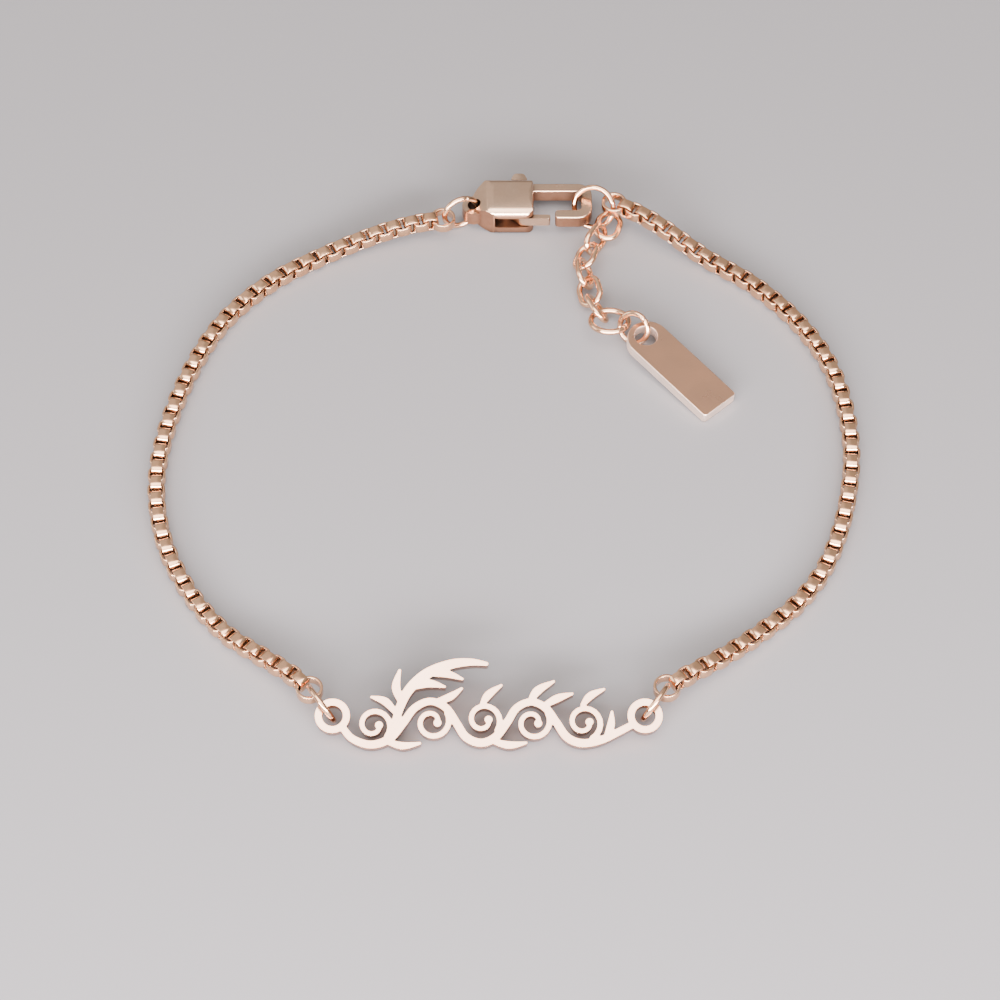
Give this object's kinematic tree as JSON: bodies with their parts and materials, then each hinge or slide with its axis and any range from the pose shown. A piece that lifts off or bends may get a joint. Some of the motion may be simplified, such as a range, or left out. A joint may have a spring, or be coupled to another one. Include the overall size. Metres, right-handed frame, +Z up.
{
  "type": "nameplate bracelet",
  "caption": "Closed bracelet of box chain with an openwork flourish plate, lobster clasp, and a short extension chain that ends in a flat tag.",
  "frame": {"origin": "centre of the bounding box, on the surface that the bracelet lies on", "axes": "+Z up, +Y from the plate towards the clasp, +X to the right seen from the plate"},
  "size_m": [0.057, 0.0566, 0.0035],
  "materials": {
    "rose_gold": "polished rose gold plating",
    "pale_rose_gold": "polished pale rose gold plating"
  },
  "bodies": {
    "bracelet": {"nameplate": "pale_rose_gold", "plate_ring_left": "rose_gold", "plate_ring_right": "rose_gold", "chain_end_front_left": "rose_gold", "chain_end_front_right": "rose_gold", "chain_end_back_left": "rose_gold", "chain_end_back_right": "rose_gold", "chain_left": "rose_gold", "chain_right": "rose_gold", "clasp_ring": "rose_gold", "clasp_body": "rose_gold", "clasp_pin": "rose_gold", "catch_ring": "rose_gold", "extension_link_1": "rose_gold", "extension_link_2": "rose_gold", "extension_link_3": "rose_gold", "extension_link_4": "rose_gold", "extension_link_5": "rose_gold", "extension_link_6": "rose_gold", "extension_end_ring": "rose_gold", "tag_ring": "rose_gold", "tag": "pale_rose_gold"},
    "lever": {"clasp_lever": "pale_rose_gold"}
  },
  "joints": [
    {"name": "gate_hinge", "type": "hinge", "parent": "bracelet", "child": "lever", "pos_m": [0.0004, 0.02531, 0.0014], "axis": [0, 0, 1], "range_deg": [0, 22], "stiffness_Nm_per_rad": 0.004, "springref_deg": -11.46}
  ]
}
